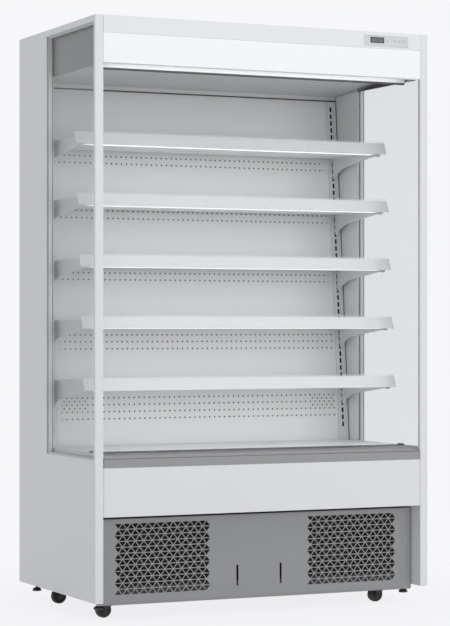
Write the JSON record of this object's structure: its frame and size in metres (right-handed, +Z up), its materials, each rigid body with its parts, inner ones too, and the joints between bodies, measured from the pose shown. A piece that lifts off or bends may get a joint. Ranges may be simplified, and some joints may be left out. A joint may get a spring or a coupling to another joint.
{
  "type": "open multideck display fridge",
  "caption": "Tall open-front chilled cabinet with glazed sides, hook-in shelves, lit canopy, pull-down night blind, castors and a vented kick panel.",
  "frame": {"origin": "on the floor under the middle of the cabinet footprint", "axes": "+Z up, -Y towards the shopper at the open front, +X to the right as seen from the front"},
  "size_m": [1.2, 0.7, 1.91],
  "materials": {
    "white_shell": "satin",
    "white_paint": "satin",
    "grey_paint": "satin",
    "inner_paint": "satin",
    "black_paint": "satin",
    "stainless": "satin",
    "zinc": "satin",
    "aluminium": "satin",
    "glass": "polished",
    "light_acrylic": "satin",
    "white_plastic": "satin",
    "clear_plastic": "satin",
    "display": "gloss",
    "black_plastic": "satin",
    "black_rubber": "matte",
    "blind_cloth": "matte"
  },
  "bodies": {
    "cabinet": {"side_panel_left": "white_shell", "side_glass_left": "glass", "side_liner_left": "inner_paint", "upright_left": "zinc", "side_panel_right": "white_shell", "side_glass_right": "glass", "side_liner_right": "inner_paint", "upright_right": "zinc", "rear_wall": "white_shell", "base_tank": "white_shell", "roof_panel": "white_shell", "lower_front_panel": "white_paint", "bumper_rail": "stainless", "header_fascia": "white_paint", "light_panel": "light_acrylic", "controller_panel": "white_plastic", "controller_display": "display", "blind_cassette": "grey_paint", "blind_sheet": "blind_cloth", "back_panel": "inner_paint", "soffit_panel": "grey_paint", "base_frame": "black_paint", "evaporator_coil": "aluminium", "condenser": "aluminium", "compressor": "black_paint", "drip_tray": "black_plastic"},
    "blind_bar": {"blind_bar": "white_plastic"},
    "blind_roller": {"blind_roller": "blind_cloth"},
    "key_1": {"key_1": "white_plastic"},
    "key_2": {"key_2": "white_plastic"},
    "key_3": {"key_3": "white_plastic"},
    "key_4": {"key_4": "white_plastic"},
    "kick_panel": {"kick_panel": "grey_paint"},
    "deck_tray": {"deck_tray": "zinc"},
    "return_grille": {"return_grille": "stainless"},
    "shelf_1": {"shelf_1": "inner_paint", "price_rail_1": "clear_plastic"},
    "shelf_2": {"shelf_2": "inner_paint", "price_rail_2": "clear_plastic"},
    "shelf_3": {"shelf_3": "inner_paint", "price_rail_3": "clear_plastic"},
    "shelf_4": {"shelf_4": "inner_paint", "price_rail_4": "clear_plastic"},
    "shelf_5": {"shelf_5": "inner_paint", "price_rail_5": "clear_plastic"},
    "evaporator_fan_1": {"evaporator_fan_1": "black_plastic"},
    "evaporator_fan_2": {"evaporator_fan_2": "black_plastic"},
    "condenser_fan": {"condenser_fan": "black_plastic"},
    "castor_front_left": {"castor_fork_front_left": "black_plastic"},
    "wheel_front_left": {"castor_wheel_front_left": "black_rubber"},
    "foot_front_left": {"foot_front_left": "black_plastic"},
    "castor_front_right": {"castor_fork_front_right": "black_plastic"},
    "wheel_front_right": {"castor_wheel_front_right": "black_rubber"},
    "foot_front_right": {"foot_front_right": "black_plastic"},
    "castor_rear_left": {"castor_fork_rear_left": "black_plastic"},
    "wheel_rear_left": {"castor_wheel_rear_left": "black_rubber"},
    "foot_rear_left": {"foot_rear_left": "black_plastic"},
    "castor_rear_right": {"castor_fork_rear_right": "black_plastic"},
    "wheel_rear_right": {"castor_wheel_rear_right": "black_rubber"},
    "foot_rear_right": {"foot_rear_right": "black_plastic"}
  },
  "joints": [
    {"name": "blind_pull", "type": "slide", "parent": "cabinet", "child": "blind_bar", "axis": [0, 0, -1], "range_m": [0, 1.205], "stiffness_N_per_m": 15, "springref_m": -0.8, "deforming": ["blind_sheet"]},
    {"name": "blind_roller_turn", "type": "hinge", "parent": "cabinet", "child": "blind_roller", "pos_m": [0, -0.2273, 1.812], "axis": [1, 0, 0], "range_deg": [0, 3140]},
    {"name": "key_1_press", "type": "slide", "parent": "cabinet", "child": "key_1", "axis": [0, 1, 0], "range_m": [0, 0.0006], "stiffness_N_per_m": 300, "springref_m": -0.0005},
    {"name": "key_2_press", "type": "slide", "parent": "cabinet", "child": "key_2", "axis": [0, 1, 0], "range_m": [0, 0.0006], "stiffness_N_per_m": 300, "springref_m": -0.0005},
    {"name": "key_3_press", "type": "slide", "parent": "cabinet", "child": "key_3", "axis": [0, 1, 0], "range_m": [0, 0.0006], "stiffness_N_per_m": 300, "springref_m": -0.0005},
    {"name": "key_4_press", "type": "slide", "parent": "cabinet", "child": "key_4", "axis": [0, 1, 0], "range_m": [0, 0.0006], "stiffness_N_per_m": 300, "springref_m": -0.0005},
    {"name": "kick_panel_pull", "type": "slide", "parent": "cabinet", "child": "kick_panel", "axis": [0, -1, 0], "range_m": [0, 0.04]},
    {"name": "deck_lift", "type": "slide", "parent": "cabinet", "child": "deck_tray", "axis": [0, 0, 1], "range_m": [0, 0.06]},
    {"name": "grille_lift", "type": "slide", "parent": "cabinet", "child": "return_grille", "axis": [0, 0, 1], "range_m": [0, 0.012]},
    {"name": "shelf_1_unhook", "type": "slide", "parent": "cabinet", "child": "shelf_1", "axis": [0, 0.0856, 0.9963], "range_m": [0, 0.0085]},
    {"name": "shelf_2_unhook", "type": "slide", "parent": "cabinet", "child": "shelf_2", "axis": [0, 0.0856, 0.9963], "range_m": [0, 0.0085]},
    {"name": "shelf_3_unhook", "type": "slide", "parent": "cabinet", "child": "shelf_3", "axis": [0, 0.0856, 0.9963], "range_m": [0, 0.0085]},
    {"name": "shelf_4_unhook", "type": "slide", "parent": "cabinet", "child": "shelf_4", "axis": [0, 0.0856, 0.9963], "range_m": [0, 0.0085]},
    {"name": "shelf_5_unhook", "type": "slide", "parent": "cabinet", "child": "shelf_5", "axis": [0, 0.0856, 0.9963], "range_m": [0, 0.0085]},
    {"name": "evaporator_fan_1_spin", "type": "hinge", "parent": "cabinet", "child": "evaporator_fan_1", "pos_m": [-0.225, -0.113, 0.4308], "axis": [0, 1, 0], "continuous": true},
    {"name": "evaporator_fan_2_spin", "type": "hinge", "parent": "cabinet", "child": "evaporator_fan_2", "pos_m": [0.225, -0.113, 0.4308], "axis": [0, 1, 0], "continuous": true},
    {"name": "condenser_fan_spin", "type": "hinge", "parent": "cabinet", "child": "condenser_fan", "pos_m": [0.35, -0.196, 0.1793], "axis": [0, 1, 0], "continuous": true},
    {"name": "castor_swivel_front_left", "type": "hinge", "parent": "cabinet", "child": "castor_front_left", "pos_m": [-0.495, -0.225, 0.055], "axis": [0, 0, 1], "continuous": true},
    {"name": "wheel_roll_front_left", "type": "hinge", "parent": "castor_front_left", "child": "wheel_front_left", "pos_m": [-0.523, -0.225, 0.025], "axis": [0, 1, 0], "continuous": true},
    {"name": "foot_screw_front_left", "type": "slide", "parent": "cabinet", "child": "foot_front_left", "axis": [0, 0, -1], "range_m": [0, 0.031]},
    {"name": "castor_swivel_front_right", "type": "hinge", "parent": "cabinet", "child": "castor_front_right", "pos_m": [0.495, -0.225, 0.055], "axis": [0, 0, 1], "continuous": true},
    {"name": "wheel_roll_front_right", "type": "hinge", "parent": "castor_front_right", "child": "wheel_front_right", "pos_m": [0.467, -0.225, 0.025], "axis": [0, 1, 0], "continuous": true},
    {"name": "foot_screw_front_right", "type": "slide", "parent": "cabinet", "child": "foot_front_right", "axis": [0, 0, -1], "range_m": [0, 0.031]},
    {"name": "castor_swivel_rear_left", "type": "hinge", "parent": "cabinet", "child": "castor_rear_left", "pos_m": [-0.495, 0.175, 0.055], "axis": [0, 0, 1], "continuous": true},
    {"name": "wheel_roll_rear_left", "type": "hinge", "parent": "castor_rear_left", "child": "wheel_rear_left", "pos_m": [-0.523, 0.175, 0.025], "axis": [0, 1, 0], "continuous": true},
    {"name": "foot_screw_rear_left", "type": "slide", "parent": "cabinet", "child": "foot_rear_left", "axis": [0, 0, -1], "range_m": [0, 0.031]},
    {"name": "castor_swivel_rear_right", "type": "hinge", "parent": "cabinet", "child": "castor_rear_right", "pos_m": [0.495, 0.175, 0.055], "axis": [0, 0, 1], "continuous": true},
    {"name": "wheel_roll_rear_right", "type": "hinge", "parent": "castor_rear_right", "child": "wheel_rear_right", "pos_m": [0.467, 0.175, 0.025], "axis": [0, 1, 0], "continuous": true},
    {"name": "foot_screw_rear_right", "type": "slide", "parent": "cabinet", "child": "foot_rear_right", "axis": [0, 0, -1], "range_m": [0, 0.031]}
  ],
  "couplings": [
    {"joint": "blind_roller_turn", "follows": "blind_pull", "rad_per_m": 45.455}
  ]
}
